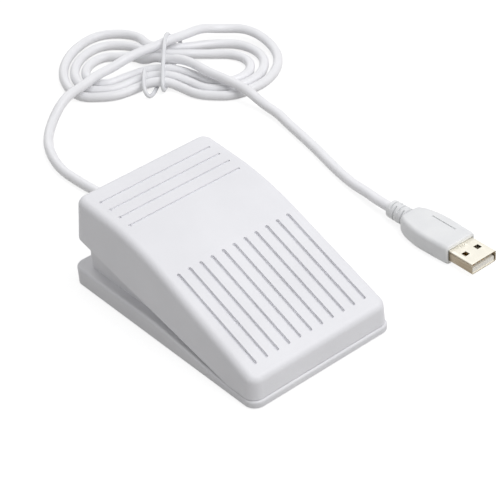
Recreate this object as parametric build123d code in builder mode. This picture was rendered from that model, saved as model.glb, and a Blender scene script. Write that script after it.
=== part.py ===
# Foot pedal switch: a hinged cover on a shallow base, its cord folded into a hank, and the plug
# x runs across the pedal, y from the low front to the high rear, z up from the floor

import os
from math import asin, atan, cos, degrees, pi, radians, sin, sqrt, tan

from build123d import *

os.makedirs("parts", exist_ok=True)

# Driving sizes
pedal_length = 100.0
pedal_width = 62.0
pedal_height = 38.0
cord_diameter = 4.0

# Clearances, and how far a cut runs past what it cuts
overrun = 1.0
running_gap = 0.05
slip_gap = 0.2

base_front = -pedal_length / 2
base_rear = pedal_length / 2
up = (Align.CENTER, Align.CENTER, Align.MIN)
down = (Align.CENTER, Align.CENTER, Align.MAX)

# Base housing: ledge, nose and raised inner wall
foot_proud = 0.6
base_corner = 4.4
rim_rise = 7.1
nose_rise = 2.6
nose_length = 14.0
rim_flat_length = 48.0
rim_rounding = 1.0
ledge_width = 4.0
rear_ledge = 5.0
front_ledge = 22.0
wall = 1.8
wall_corner = 3.0
wall_rear_rise = 21.4
wall_front_rise = 8.9

rim_top = foot_proud + rim_rise
nose_top = foot_proud + nose_rise
slope_rear = base_rear - rim_flat_length
slope_front = base_front + nose_length
wall_half = pedal_width / 2 - ledge_width
wall_rear = base_rear - rear_ledge
wall_front = base_front + front_ledge
wall_rear_top = foot_proud + wall_rear_rise
wall_front_top = foot_proud + wall_front_rise
wall_middle = (wall_rear + wall_front) / 2
opening_half = wall_half - wall
opening_rear = wall_rear - wall
opening_front = wall_front + wall

# Bottom cover and its screws
cover_thickness = 1.6
cover_top = foot_proud + cover_thickness
screw_shank = 2.0
screw_head = 4.2
screw_length = 8.0
screw_hole = 2.2
sink_diameter = 4.4
recess_length = 2.2
recess_width = 0.5
recess_depth = 0.7
boss_diameter = 6.0
boss_rise = 7.8
pilot_floor = 1.0
boss_front_gap = 6.2
boss_rear_gap = 15.2
boss_x = opening_half - boss_diameter / 2
boss_places = [
    (side * boss_x, y)
    for y in (opening_front + boss_front_gap, opening_rear - boss_rear_gap)
    for side in (-1, 1)
]

# Rubber feet
foot_diameter = 8.0
foot_pocket = 0.6
foot_rounding = 0.3
front_foot_inset = 9.0
front_foot_side = 8.0
rear_foot_inset = 5.7
rear_foot_side = 5.2
front_foot_x = pedal_width / 2 - front_foot_side
front_feet = [(side * front_foot_x, base_front + front_foot_inset) for side in (-1, 1)]
rear_feet = [(side * (opening_half - rear_foot_side), opening_rear - rear_foot_inset) for side in (-1, 1)]

# Hinge
pin_diameter = 2.5
hinge_inset = 12.0
hinge_rise = 6.8
ear_radius = 3.0
ear_thickness = 4.0
base_ear_inner = 12.0
pin_chamfer = 0.3
hinge_y = base_front + hinge_inset
hinge_z = foot_proud + hinge_rise
pedal_ear_inner = base_ear_inner + ear_thickness + slip_gap
pin_half = pedal_ear_inner + ear_thickness

# Pedal cover: drafted shell with a kinked top
pedal_side_gap = 0.4
pedal_front_gap = 0.6
pedal_rear_gap = 0.06
pedal_floor_gap = 0.25
side_draft = 2.0
rear_rake = 8.0
rear_slope = 3.5
front_top = 11.25
peak_crown = 0.149
peak_inset = 5.0
knee_inset = 38.5
knee_radius = 100.0
shell_wall = 2.0
roof = 2.2
pedal_corner = 4.2
pedal_rounding = 2.8
skirt_rear = 22.04

pedal_low = nose_top + pedal_floor_gap
pedal_half = pedal_width / 2 - pedal_side_gap
pedal_front = base_front + pedal_front_gap
pedal_rear = base_rear - pedal_rear_gap
peak_y = base_rear - peak_inset
peak_z = pedal_height + peak_crown
knee_y = base_rear - knee_inset
knee_z = peak_z - (peak_y - knee_y) * tan(radians(rear_slope))
front_slope = degrees(atan((knee_z - front_top) / (knee_y - base_front)))
knee_middle = radians((front_slope + rear_slope) / 2)
knee_half = radians((front_slope - rear_slope) / 2)
arc_y = knee_y + knee_radius / cos(knee_half) * sin(knee_middle)
arc_z = knee_z - knee_radius / cos(knee_half) * cos(knee_middle)

# Grooves of the cover
long_grooves = 11
groove_side_gap = 6.45
groove_width = 1.4
groove_depth = 1.1
groove_front_gap = 5.8
groove_rear_gap = 55.3
cross_grooves = 4
cross_pitch = 5.5
cross_width = 0.9
cross_depth = 0.6
cross_side_gap = 6.0
cross_rear_gap = 13.6
pit_diameter = 1.3
pit_depth = 0.9
groove_pitch = 2 * (pedal_half - groove_side_gap) / (long_grooves - 1)
cross_half = pedal_half - cross_side_gap

# Stop hooks of the cover and their windows in the base
hook_side = 9.2
hook_width = 6.0
hook_thickness = 2.2
hook_gap = 1.8
hook_reach = 3.0
hook_height = 2.5
hook_lead = 1.3
window_side = 0.4
window_drop = 3.0
window_height = 10.0
window_top = wall_rear_top - window_drop
hook_top = window_top - slip_gap
hook_rear = opening_rear - hook_gap
hook_x = opening_half - hook_side

# Return springs
spring_side = 8.2
spring_rear_gap = 23.2
spring_diameter = 8.0
spring_wire = 0.9
spring_length = 20.0
spring_pitch = 2.9
nib_diameter = 5.0
nib_rise = 4.0
seat_diameter = 10.0
seat_gap = 0.3
seat_nib_diameter = 3.6
seat_nib_drop = 2.0
spring_x = opening_half - spring_side
spring_y = opening_rear - spring_rear_gap
spring_top = cover_top + spring_length
spring_places = [(-spring_x, spring_y), (spring_x, spring_y)]

# Circuit board
board_side_gap = 1.2
board_front_gap = 5.2
board_length = 32.0
board_thickness = 1.6
board_lift = 3.2
post_diameter = 5.0
post_inset_x = 3.5
post_inset_y = 3.0
board_hole = 2.0
board_shank = 1.8
board_head = 3.6
head_height = 1.4
head_rounding_share = 0.33
board_screw_length = 4.4
board_width = 2 * (boss_x - boss_diameter / 2 - board_side_gap)
board_y = opening_front + board_front_gap + board_length / 2
board_rear = board_y + board_length / 2
board_bottom = cover_top + board_lift
board_top = board_bottom + board_thickness
post_places = [
    (side * (board_width / 2 - post_inset_x), board_y + end * (board_length / 2 - post_inset_y))
    for end in (-1, 1)
    for side in (-1, 1)
]

# Microswitch
case_width = 6.4
case_length = 19.8
case_height = 9.3
case_rear_gap = 7.2
case_rounding = 0.5
case_hole = 2.3
case_hole_rise = 3.0
case_hole_inset = 5.15
pivot_inset = 2.0
pivot_rise = 0.6
lever_pin_diameter = 0.8
pivot_ear_radius = 0.9
pivot_ear_thickness = 1.0
lever_width = 3.6
lever_thickness = 0.5
lever_reach = 16.0
lever_angle = 13.0
knuckle_diameter = 1.8
plunger_diameter = 1.8
plunger_offset = 3.4
plunger_gap = 0.08
plunger_length = 2.8
plunger_well = 0.9
terminal_diameter = 0.9
terminal_pitch = 7.5
terminal_length = 2.6
terminal_gap = 0.1
strike_diameter = 6.0
strike_gap = 0.3

case_rear = board_rear - case_rear_gap
case_middle = case_rear - case_length / 2
case_top = board_top + case_height
pivot_y = case_rear - case_length + pivot_inset
pivot_z = case_top + pivot_rise
lever_slope = tan(radians(lever_angle))
tip_y = pivot_y + lever_reach
tip_z = pivot_z + lever_reach * lever_slope + lever_thickness / 2
plunger_y = pivot_y + plunger_offset
lever_under = pivot_z + plunger_offset * lever_slope - lever_thickness / 2 / cos(radians(lever_angle))
dome_z = lever_under - (plunger_diameter / 2 + plunger_gap) / cos(radians(lever_angle))
plunger_top = dome_z + plunger_diameter / 2
strike_bottom = tip_z + strike_gap

# Parts soldered to the board
chip_x = 8.4
chip_width = 3.9
chip_length = 9.9
chip_height = 1.5
chip_standoff = 0.15
leg_pitch = 1.27
leg_count = 7
leg_width = 0.42
leg_thickness = 0.22
leg_reach = 1.05
leg_foot = 0.6
leg_rise = 0.8
crystal_x = -10.2
crystal_width = 4.6
crystal_length = 11.2
crystal_height = 3.5
crystal_corner_share = 0.49
chip_part_length = 2.0
chip_part_width = 1.25
capacitor_height = 0.9
resistor_height = 0.55
small_parts = 4
capacitor_x = -6.0
capacitor_pitch = 3.2
resistor_x = 5.4
resistor_front = 2.1
resistor_pitch = 2.2

# Cord at the base: grommet, clamp and inner wires
exit_x = 6.5
exit_rise = 3.8
exit_z = foot_proud + exit_rise
relief_waist = 4.8
relief_flange = 7.4
relief_flange_length = 1.0
relief_neck = 6.4
relief_tip = 5.0
relief_length = 11.0
relief_grooves = 3
relief_groove_width = 1.1
relief_groove_depth = 0.45
relief_groove_pitch = 2.6
tail_inset = 13.2
clamp_inset = 7.2
clamp_width = 4.0
clamp_thickness = 2.0
clamp_corner_share = 0.3
clamp_post_offset = 6.0
clamp_end = 2.6
clamp_gap = 0.05
clamp_screw_length = 5.0
wire_diameter = 0.9
wire_offset = 0.56
wire_pitch = 2.0
wire_first_x = 0.4
wire_straight = 5.0
wire_level = 4.0
wire_landing = 2.4
wire_lift = 0.05
relief_end = base_rear + relief_length
tail_end = opening_rear - tail_inset
clamp_y = opening_rear - clamp_inset
clamp_bottom = exit_z + cord_diameter / 2 + clamp_gap

# Route of the cord from the grommet to the hank, and from the hank to the plug
cord_radius = cord_diameter / 2
lead_in_straight = 10.0
lead_in_start = [
    (exit_x, relief_end, exit_z),
    (exit_x, relief_end + lead_in_straight, exit_z),
    (6.6, 84.5, 2.2),
    (6.0, 98.0, 2.0),
    (5.9, 110.2, 2.0),
]
lead_in_last_run = 4.7
lead_out_first_run = 13.0
lead_out_end = [(81.0, 34.5, 2.0), (78.4, 21.5, 2.2), (77.2, 11.5, 3.4), (76.0, 5.0, 4.0), (76.0, 0.0, 4.0)]

# Hank: three loops flat on the floor, drawn in at the waist, crossed by its first and last run
hank_centre = (79.0, 138.0)
hank_turn = -46.2
hank_loops = 3
straight_share = 1e-6
waist_pitch = 5.1
waist_lift = 1.6
entry_lift = 2.6
waist_bottom = -10.4
waist_top = 17.0
right_reach, right_reach_step = 47.0, 5.6
right_shoulder, right_shoulder_step = 23.5, 5.4
right_top, right_top_step = 31.5, 8.5
right_bottom, right_bottom_step = -18.6, 5.1
left_reach, left_reach_step = 43.5, 5.0
left_shoulder, left_shoulder_step = 18.5, 4.4
left_top, left_top_step = 31.5, 9.6
left_bottom, left_bottom_step = -20.0, 5.2
hank_entry = [
    (-39.7, -47.9, 2.0, 98.0),
    (-33.0, -22.5, 6.9, 56.0),
    (-23.0, -8.5, 7.7, 47.0),
    (-11.5, 3.4, 8.9, 43.0),
    (-0.5, 13.6, 8.8, 44.0),
    (9.0, 22.6, 8.1, 42.0),
]
hank_exit = [
    (-12.5, 10.6, 2.3, -33.0),
    (-1.5, 5.8, 5.2, -24.0),
    (9.5, 0.2, 7.3, -30.0),
    (22.0, -9.4, 6.9, -36.0),
    (34.0, -18.8, 6.9, -41.0),
    (48.0, -30.2, 3.0, -46.0),
    (58.0, -42.8, 2.0, -55.0),
]

# Wire tie round the waist, in the hank's own frame
tie_diameter = 1.4
tie_route = [
    (-7.0, -5.5, 6.5),
    (-6.4, -14.5, 6.2),
    (-5.2, -18.6, 3.4),
    (-3.4, -18.4, 0.75),
    (-1.6, -12.0, 0.75),
    (-0.2, 18.4, 0.75),
    (0.3, 21.3, 2.8),
    (0.2, 21.2, 7.0),
    (-0.8, 14.0, 13.0),
    (1.3, -11.6, 7.0),
    (1.7, -15.9, 3.4),
    (2.0, -13.2, 0.75),
    (3.4, 18.4, 0.75),
    (3.7, 22.1, 2.6),
    (3.8, 22.8, 5.6),
    (3.5, 21.9, 7.6),
]

# Plug, lying beside the pedal with its axis along y
plug_x = 76.0
plug_z = 4.0
plug_relief_length = 11.3
plug_relief_rear = 5.6
plug_relief_front = 6.6
plug_rings = 3
plug_ring_groove = 1.3
plug_ring_depth = 0.8
plug_ring_pitch = 2.9
plug_web = 1.6
overmould_length = 26.7
overmould_rear = 8.0
overmould_widest = 15.4
overmould_front = 14.4
overmould_height = 8.0
overmould_shoulder = 11.0
overmould_rounding = 2.4
overmould_front_chamfer = 0.5
plug_seat = 3.0
shell_width = 12.0
shell_height = 4.5
shell_sheet = 0.3
shell_length = 11.5
shell_corner = 0.6
shell_window = 2.2
shell_window_x = 3.0
shell_window_gap = 5.4
tongue_thickness = 1.9
tongue_setback = 0.4
tongue_side_gap = 0.3
contact_width = 1.1
contact_thickness = 0.15
contact_inner_x = 1.0
contact_outer_x = 3.5
contact_front_gap = 1.2
contact_length = 8.5
overmould_y = -plug_relief_length
shell_y = overmould_y - overmould_length
shell_end = shell_y - shell_length


def top_height(y):
    """Height of the cover's top surface along its middle."""
    if y < arc_y - knee_radius * sin(radians(front_slope)):
        return knee_z - (knee_y - y) * tan(radians(front_slope))
    if y > arc_y - knee_radius * sin(radians(rear_slope)):
        return knee_z + (y - knee_y) * tan(radians(rear_slope))
    return arc_z + sqrt(knee_radius**2 - (y - arc_y) ** 2)


def top_plane(y):
    """Plane that lies on the cover's top surface at y."""
    lean = min(max(asin((arc_y - y) / knee_radius), radians(rear_slope)), radians(front_slope))
    return Plane(origin=(0, y, top_height(y)), x_dir=(1, 0, 0), z_dir=(0, -sin(lean), cos(lean)))


def below_top(drop, low_points):
    """Side face under the top line lowered by drop, closed along low_points from rear to front."""
    front = base_front - overrun
    rear = base_rear + overrun
    with BuildSketch(Plane.YZ) as face:
        with BuildLine():
            top = FilletPolyline(
                (front, knee_z - (knee_y - front) * tan(radians(front_slope)) - drop),
                (knee_y, knee_z - drop),
                (rear, knee_z + (rear - knee_y) * tan(radians(rear_slope)) - drop),
                radius=knee_radius,
            )
            Polyline(top @ 1, *low_points, top @ 0)
        make_face()
    return face.sketch


def shell_plan(z, inset):
    """Rounded plan of the drafted cover at height z, drawn in by inset."""
    rise = z - pedal_low
    half = pedal_half - rise * tan(radians(side_draft)) - inset
    front = pedal_front + rise * tan(radians(side_draft)) + inset
    rear = pedal_rear - rise * tan(radians(rear_rake)) - inset
    with BuildSketch(Plane.XY.offset(z)) as plan:
        with Locations((0, (front + rear) / 2)):
            RectangleRounded(2 * half, rear - front, pedal_corner - inset)
    return plan.sketch


def unit(vector):
    return vector / vector.length


def bend_radii(points):
    """Largest arc that each corner of a route takes, 0.45 of its shorter run from the corner."""
    run_share = 0.45
    radii = []
    for before, corner, after in zip(points, points[1:], points[2:]):
        arrive = Vector(*corner) - Vector(*before)
        leave = Vector(*after) - Vector(*corner)
        half_turn = radians(arrive.get_angle(leave)) / 2
        radii.append(run_share * min(arrive.length, leave.length) / tan(half_turn))
    return radii


def report_tube(name, part, path_length, diameter):
    """Prints a tube's volume against its section times its length."""
    share = part.volume / (pi * (diameter / 2) ** 2 * path_length)
    print(f"{name}: length {path_length:.1f} mm, volume share {share:.4f}")


def hank_point(u, v, z):
    """Point of the hank's own frame in the part's frame."""
    turn = radians(hank_turn)
    x = hank_centre[0] + u * cos(turn) - v * sin(turn)
    y = hank_centre[1] + u * sin(turn) + v * cos(turn)
    return Vector(x, y, z)


def hank_heading(angle):
    """Direction that makes this angle with the hank's long axis."""
    turn = radians(hank_turn + angle)
    return Vector(cos(turn), sin(turn), 0)


def waist_slope(rise, run):
    return degrees(2 * atan(abs(rise) / abs(run)))


def inset_station(u, v, angle, inset):
    """Station moved inward, square to its heading, so that nested turns keep their gap."""
    side = radians(angle - 90)
    return (u + inset * cos(side), v + inset * sin(side), cord_radius, angle)


def hank_stations():
    """Places and headings that the cord passes through in the hank."""
    stations = list(hank_entry)
    waist_z = cord_radius + waist_lift
    right_run = right_reach - right_shoulder
    left_run = left_reach - left_shoulder
    right_angle = waist_slope(right_bottom - waist_bottom, right_run)
    left_angle = waist_slope(left_bottom - waist_bottom, left_run)
    for turn in range(hank_loops):
        reach = right_reach - turn * right_reach_step
        shoulder = right_shoulder - turn * right_shoulder_step
        top = right_top - turn * right_top_step
        bottom = right_bottom + turn * right_bottom_step
        top_z = cord_radius + (entry_lift if turn == 0 else 0)
        stations.append((reach - shoulder, top, top_z, 0))
        stations.append((reach, (top + bottom) / 2, cord_radius, -90))
        stations.append((reach - shoulder, bottom, cord_radius, 180))
        middle = (right_bottom + waist_bottom) / 2
        stations.append(inset_station(right_run / 2, middle, 180 - right_angle, turn * waist_pitch))
        stations.append((0, waist_bottom + turn * waist_pitch, waist_z, 180))
        middle = (left_bottom + waist_bottom) / 2
        stations.append(inset_station(-left_run / 2, middle, 180 + left_angle, turn * waist_pitch))
        reach = left_reach - turn * left_reach_step
        shoulder = left_shoulder - turn * left_shoulder_step
        top = left_top - turn * left_top_step
        bottom = left_bottom + turn * left_bottom_step
        stations.append((shoulder - reach, bottom, cord_radius, 180))
        stations.append((-reach, (top + bottom) / 2, cord_radius, 90))
        stations.append((shoulder - reach, top, cord_radius, 0))
        if turn < hank_loops - 1:
            stations.append((0, waist_top - turn * waist_pitch, waist_z, 0))
    return stations + hank_exit


def hank_arcs(stations):
    """Two tangent arcs for each span between stations, as start, heading and end."""
    arcs = []
    for a, b in zip(stations, stations[1:]):
        p0, t0 = hank_point(*a[:3]), hank_heading(a[3])
        p1, t1 = hank_point(*b[:3]), hank_heading(b[3])
        v = p1 - p0
        t = t0 + t1
        den = 2 * (1 - t0.dot(t1))
        if den < straight_share:
            d = v.dot(v) / (4 * v.dot(t1))
        else:
            d = (sqrt(v.dot(t) ** 2 + den * v.dot(v)) - v.dot(t)) / den
        joint = (p0 + p1 + (t0 - t1) * d) * 0.5
        middle_heading = unit(p1 - t1 * d - p0 - t0 * d)
        arcs.append((p0, t0, joint))
        arcs.append((joint, middle_heading, p1))
    return arcs


def least_gap(points, spacing, diameter):
    """Least distance between stretches of a tube that are over four diameters apart along it."""
    skipped_diameters = 4
    skip = int(skipped_diameters * diameter / spacing)
    least = pedal_length
    for i, point in enumerate(points):
        for other in points[i + skip :]:
            least = min(least, (point - other).length)
    return least - diameter


# Base housing
with BuildPart() as base_housing:
    with BuildSketch(Plane.XY.offset(foot_proud)):
        RectangleRounded(pedal_width, pedal_length, base_corner)
    extrude(amount=rim_rise)
    with BuildSketch(Plane.YZ):
        with BuildLine():
            Polyline(
                (base_front - overrun, nose_top),
                (slope_front, nose_top),
                (slope_rear, rim_top),
                (slope_rear, rim_top + overrun),
                (base_front - overrun, rim_top + overrun),
                close=True,
            )
        make_face()
    extrude(amount=pedal_width, both=True, mode=Mode.SUBTRACT)
    rim_edges = [
        edge
        for edge in base_housing.edges()
        if edge.center().Z > foot_proud + nose_rise / 2
        and abs((edge % 0).Z) < cos(radians(45))
        and not (abs(edge.center().X) < running_gap and abs(edge.center().Y) < base_rear - rim_rounding)
    ]
    fillet(rim_edges, radius=rim_rounding)
    with BuildSketch(Plane.XY.offset(foot_proud)):
        with Locations((0, wall_middle)):
            RectangleRounded(2 * wall_half, wall_rear - wall_front, wall_corner)
    extrude(amount=wall_rear_rise)
    with BuildSketch(Plane.YZ):
        with BuildLine():
            Polyline(
                (wall_front, wall_front_top),
                (wall_rear, wall_rear_top),
                (wall_rear, wall_rear_top + overrun),
                (wall_front, wall_rear_top + overrun),
                close=True,
            )
        make_face()
    extrude(amount=wall_half, both=True, mode=Mode.SUBTRACT)
    with BuildSketch(Plane.XY):
        with Locations((0, wall_middle)):
            RectangleRounded(2 * opening_half, opening_rear - opening_front, wall_corner - wall)
    extrude(amount=pedal_height, mode=Mode.SUBTRACT)
    with BuildSketch(Plane.XY.offset(cover_top)):
        for x, y in boss_places:
            with Locations((x, y)):
                Circle(boss_diameter / 2)
            with Locations((x * (opening_half + wall / 2 + boss_x) / (2 * boss_x), y)):
                Rectangle(opening_half + wall / 2 - boss_x, boss_diameter)
    extrude(amount=boss_rise)
    with BuildSketch(Plane.XY.offset(cover_top)):
        with Locations(*boss_places):
            Circle(screw_shank / 2)
    extrude(amount=boss_rise - pilot_floor, mode=Mode.SUBTRACT)
    for side in (-1, 1):
        with BuildSketch(Plane.YZ.offset(side * base_ear_inner)):
            with Locations((hinge_y, hinge_z)):
                Circle(ear_radius)
            with Locations((hinge_y, (hinge_z + foot_proud) / 2)):
                Rectangle(2 * ear_radius, hinge_rise)
        extrude(amount=side * ear_thickness)
    with BuildSketch(Plane.YZ):
        with Locations((hinge_y, hinge_z)):
            Circle(pin_diameter / 2 + running_gap)
    extrude(amount=pin_half, both=True, mode=Mode.SUBTRACT)
    with BuildSketch(Plane.XZ.offset(-wall_rear - overrun)):
        with Locations((-hook_x, window_top - window_height / 2), (hook_x, window_top - window_height / 2)):
            Rectangle(hook_width + 2 * window_side, window_height)
    extrude(amount=wall + 2 * overrun, mode=Mode.SUBTRACT)
    with BuildSketch(Plane.XZ.offset(-base_rear - overrun)):
        with Locations((exit_x, exit_z)):
            Circle(relief_waist / 2 + running_gap)
    extrude(amount=rear_ledge + wall + 2 * overrun, mode=Mode.SUBTRACT)
    with BuildSketch(Plane.XY.offset(foot_proud)):
        with Locations(*front_feet):
            Circle(foot_diameter / 2 + running_gap)
    extrude(amount=foot_pocket, mode=Mode.SUBTRACT)
base_housing.part.label = "base_housing"
export_step(base_housing.part, "parts/base_housing.step")

# Bottom cover, with the posts that carry the board and the clamp and the spring nibs
with BuildPart() as bottom_cover:
    with BuildSketch(Plane.XY.offset(foot_proud)):
        with Locations((0, wall_middle)):
            RectangleRounded(
                2 * (opening_half - slip_gap),
                opening_rear - opening_front - 2 * slip_gap,
                wall_corner - wall,
            )
    extrude(amount=cover_thickness)
    with BuildSketch(Plane.XY.offset(cover_top)):
        with Locations(*post_places):
            Circle(post_diameter / 2)
    extrude(amount=board_lift)
    with BuildSketch(Plane.XY.offset(cover_top)):
        with Locations((exit_x - clamp_post_offset, clamp_y), (exit_x + clamp_post_offset, clamp_y)):
            Circle(post_diameter / 2)
    extrude(amount=clamp_bottom - cover_top)
    with BuildSketch(Plane.XY.offset(cover_top)):
        with Locations(*spring_places):
            Circle(nib_diameter / 2)
    extrude(amount=nib_rise)
    with BuildSketch(Plane.XY.offset(board_bottom)):
        with Locations(*post_places):
            Circle(board_shank / 2)
    extrude(amount=board_thickness - board_screw_length, mode=Mode.SUBTRACT)
    with BuildSketch(Plane.XY.offset(clamp_bottom)):
        with Locations((exit_x - clamp_post_offset, clamp_y), (exit_x + clamp_post_offset, clamp_y)):
            Circle(board_shank / 2)
    extrude(amount=clamp_thickness - clamp_screw_length, mode=Mode.SUBTRACT)
    with Locations(*[Plane(origin=(x, y, foot_proud), z_dir=(0, 0, -1)) for x, y in boss_places]):
        CounterSinkHole(screw_hole / 2, sink_diameter / 2, depth=cover_thickness, counter_sink_angle=90)
    with BuildSketch(Plane.XY.offset(foot_proud)):
        with Locations(*rear_feet):
            Circle(foot_diameter / 2 + running_gap)
    extrude(amount=foot_pocket, mode=Mode.SUBTRACT)
bottom_cover.part.label = "bottom_cover"
export_step(bottom_cover.part, "parts/bottom_cover.step")

# Countersunk screws of the bottom cover
with BuildPart() as cover_screws:
    with Locations(*[(x, y, foot_proud) for x, y in boss_places]):
        Cone(screw_head / 2, screw_shank / 2, (screw_head - screw_shank) / 2, align=up)
        Cylinder(screw_shank / 2, screw_length, align=up)
        Box(recess_length, recess_width, recess_depth, align=up, mode=Mode.SUBTRACT)
        Box(recess_width, recess_length, recess_depth, align=up, mode=Mode.SUBTRACT)
cover_screws.part.label = "cover_screws"
export_step(cover_screws.part, "parts/cover_screws.step")

# Rubber feet
with BuildPart() as rubber_feet:
    with BuildSketch(Plane.XY):
        with Locations(*front_feet, *rear_feet):
            Circle(foot_diameter / 2)
    extrude(amount=foot_proud + foot_pocket)
    fillet(rubber_feet.edges().group_by(Axis.Z)[0], radius=foot_rounding)
rubber_feet.part.label = "rubber_feet"
export_step(rubber_feet.part, "parts/rubber_feet.step")

# Hinge pin
with BuildPart() as hinge_pin:
    with BuildSketch(Plane.YZ.offset(-pin_half)):
        with Locations((hinge_y, hinge_z)):
            Circle(pin_diameter / 2)
    extrude(amount=2 * pin_half)
    chamfer(hinge_pin.edges().filter_by(GeomType.CIRCLE), length=pin_chamfer)
hinge_pin.part.label = "hinge_pin"
export_step(hinge_pin.part, "parts/hinge_pin.step")

# Outside of the cover, filled
skirt_slope = (skirt_rear - pedal_low) / (base_rear - slope_front)
underside = [
    (base_rear + overrun, skirt_rear + overrun * skirt_slope),
    (slope_front, pedal_low),
    (base_front - overrun, pedal_low),
]
with BuildPart() as pedal_outside:
    loft([shell_plan(pedal_low, 0), shell_plan(pedal_height + overrun, 0)])
    extrude(below_top(0, underside), amount=pedal_width, both=True, mode=Mode.INTERSECT)
    top_edges = [
        edge
        for edge in pedal_outside.edges()
        if abs(edge.center().Z - top_height(edge.center().Y)) < pedal_rounding / 2
        and abs((edge % 0.5).Z) < cos(radians(45))
        and not (
            abs(edge.center().X) < running_gap
            and pedal_front + pedal_corner < edge.center().Y < peak_y - pedal_corner
        )
    ]
    fillet(top_edges, radius=pedal_rounding)

# Hollow of the cover, open below
open_below = [(base_rear + overrun, 0), (base_front - overrun, 0)]
with BuildPart() as pedal_hollow:
    loft([shell_plan(0, shell_wall), shell_plan(pedal_height, shell_wall)])
    extrude(below_top(roof, open_below), amount=pedal_width, both=True, mode=Mode.INTERSECT)

# Ears, hooks, spring seats and switch post under the cover, cut off half way into its roof
with BuildPart() as pedal_inside:
    for side in (-1, 1):
        with BuildSketch(Plane.YZ.offset(side * pedal_ear_inner)):
            with Locations((hinge_y, hinge_z)):
                Circle(ear_radius)
            with Locations((hinge_y, (hinge_z + pedal_height) / 2)):
                Rectangle(2 * ear_radius, pedal_height - hinge_z)
        extrude(amount=side * ear_thickness)
        with BuildSketch(Plane.YZ.offset(side * hook_x)):
            with BuildLine():
                Polyline(
                    (hook_rear - hook_thickness, hook_top - hook_height),
                    (hook_rear + hook_thickness / 2, hook_top - hook_height),
                    (hook_rear + hook_reach, hook_top - hook_height + hook_lead),
                    (hook_rear + hook_reach, hook_top),
                    (hook_rear, hook_top),
                    (hook_rear, pedal_height),
                    (hook_rear - hook_thickness, pedal_height),
                    close=True,
                )
            make_face()
        extrude(amount=hook_width / 2, both=True)
    with BuildSketch(Plane.XY.offset(spring_top + seat_gap)):
        with Locations(*spring_places):
            Circle(seat_diameter / 2)
    extrude(amount=pedal_height - spring_top)
    with BuildSketch(Plane.XY.offset(spring_top + seat_gap)):
        with Locations(*spring_places):
            Circle(seat_nib_diameter / 2)
    extrude(amount=-seat_nib_drop)
    with BuildSketch(Plane.XY.offset(strike_bottom)):
        with Locations((0, tip_y)):
            Circle(strike_diameter / 2)
    extrude(amount=pedal_height - strike_bottom)
    extrude(below_top(roof / 2, open_below), amount=pedal_width, both=True, mode=Mode.INTERSECT)
    with BuildSketch(Plane.YZ):
        with Locations((hinge_y, hinge_z)):
            Circle(pin_diameter / 2)
    extrude(amount=pin_half + overrun, both=True, mode=Mode.SUBTRACT)

# Pedal cover
groove_front = base_front + groove_front_gap
groove_length = (base_rear - groove_rear_gap - groove_front) / cos(radians(front_slope))
with BuildPart() as pedal_cover:
    add(pedal_outside.part)
    add(pedal_hollow.part, mode=Mode.SUBTRACT)
    add(pedal_inside.part)
    with BuildSketch(top_plane((groove_front + base_rear - groove_rear_gap) / 2)):
        with GridLocations(groove_pitch, groove_pitch, long_grooves, 1):
            SlotOverall(groove_length, groove_width, rotation=90)
    extrude(amount=-groove_depth, mode=Mode.SUBTRACT)
    for row in range(cross_grooves):
        row_plane = top_plane(base_rear - cross_rear_gap - row * cross_pitch)
        with BuildSketch(row_plane):
            SlotOverall(2 * cross_half, cross_width)
        extrude(amount=-cross_depth, mode=Mode.SUBTRACT)
        with BuildSketch(row_plane):
            with Locations((pit_diameter / 2 - cross_half, 0)):
                Circle(pit_diameter / 2)
        extrude(amount=-pit_depth, mode=Mode.SUBTRACT)
pedal_cover.part.label = "pedal_cover"
export_step(pedal_cover.part, "parts/pedal_cover.step")

# Return springs
coil_radius = (spring_diameter - spring_wire) / 2
for name, (x, y) in zip(("return_spring_left", "return_spring_right"), spring_places):
    with BuildPart() as return_spring:
        with BuildLine():
            coil = Helix(
                spring_pitch,
                spring_length - spring_wire,
                coil_radius,
                center=(x, y, cover_top + spring_wire / 2),
            )
        with BuildSketch(Plane(origin=coil @ 0, z_dir=coil % 0)):
            Circle(spring_wire / 2)
        sweep(path=coil, is_frenet=True)
    return_spring.part.label = name
    export_step(return_spring.part, "parts/" + name + ".step")

# Circuit board
terminal_places = [(0, case_middle + row * terminal_pitch) for row in (-1, 0, 1)]
with BuildPart() as circuit_board:
    with BuildSketch(Plane.XY.offset(board_bottom)):
        with Locations((0, board_y)):
            Rectangle(board_width, board_length)
        with Locations(*post_places):
            Circle(board_hole / 2, mode=Mode.SUBTRACT)
        with Locations(*terminal_places):
            Circle(terminal_diameter / 2 + terminal_gap, mode=Mode.SUBTRACT)
    extrude(amount=board_thickness)
circuit_board.part.label = "circuit_board"
export_step(circuit_board.part, "parts/circuit_board.step")

# Board screws
with BuildPart() as board_screws:
    with Locations(*[(x, y, board_top) for x, y in post_places]):
        Cylinder(board_head / 2, head_height, align=up)
        Cylinder(board_shank / 2, board_screw_length, align=down)
    fillet(board_screws.edges().group_by(Axis.Z)[-1], radius=head_height * head_rounding_share)
    with Locations(*[(x, y, board_top + head_height) for x, y in post_places]):
        Box(recess_length, recess_width, recess_depth, align=down, mode=Mode.SUBTRACT)
        Box(recess_width, recess_length, recess_depth, align=down, mode=Mode.SUBTRACT)
board_screws.part.label = "board_screws"
export_step(board_screws.part, "parts/board_screws.step")

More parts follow.
